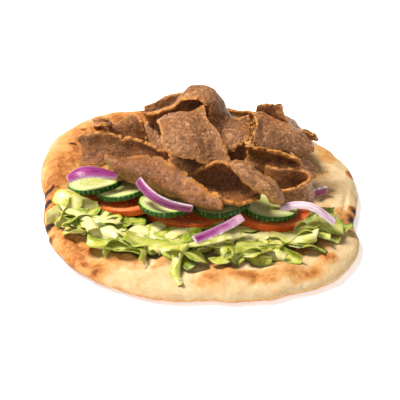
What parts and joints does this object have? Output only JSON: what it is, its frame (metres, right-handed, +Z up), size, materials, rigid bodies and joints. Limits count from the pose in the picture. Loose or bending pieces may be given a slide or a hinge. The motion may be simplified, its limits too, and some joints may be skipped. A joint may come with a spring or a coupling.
{
  "type": "doner kebab sandwich",
  "caption": "Open doner kebab on a round naan: curled meat shavings piled over cucumber and tomato slices, shredded lettuce and strips of red onion.",
  "frame": {"origin": "middle of the bounding box, at the flat underside of the naan", "axes": "+X to the eater's right along the rows of slices, +Y away from the eater, +Z up"},
  "size_m": [0.2639, 0.2653, 0.0953],
  "materials": {
    "naan": "baked flatbread, matte and pale with golden and charred patches",
    "doner": "roast ground meat, slightly greasy, with golden edges",
    "tomato": "wet cut flesh with a smooth skin",
    "cucumber": "wet pale flesh with a dark green striped skin",
    "onion": "moist purple skin with pale edges",
    "lettuce": "crisp thin leaves, pale at the ribs"
  },
  "bodies": {
    "root": {"naan": "naan", "meat_base_left": "doner", "meat_base_right": "doner", "meat_rear_1": "doner", "meat_rear_2": "doner", "meat_rear_3": "doner", "meat_rear_4": "doner", "meat_rear_5": "doner", "meat_rear_6": "doner", "meat_rear_7": "doner", "meat_rear_8": "doner", "meat_rear_9": "doner", "meat_behind_arch": "doner", "meat_standing_behind": "doner", "meat_torn_top_right": "doner", "meat_right_curl": "doner", "meat_left_curl": "doner", "meat_arch": "doner", "meat_left_wall": "doner", "meat_big_face": "doner", "meat_centre_face": "doner", "meat_centre_flap": "doner", "meat_under_middle": "doner", "meat_low_wall_right": "doner", "meat_low_tip_right": "doner", "meat_scoop": "doner", "meat_right_cone": "doner", "meat_hook": "doner", "meat_front_roll": "doner", "onion_far_left": "onion", "onion_long_arc": "onion", "onion_front": "onion", "onion_right_arc": "onion", "onion_far_right": "onion", "tomato_middle": "tomato", "tomato_left": "tomato", "tomato_right": "tomato", "cucumber_5": "cucumber", "cucumber_4": "cucumber", "cucumber_3": "cucumber", "cucumber_2": "cucumber", "cucumber_1": "cucumber", "lettuce_heap": "lettuce"}
  },
  "joints": []
}
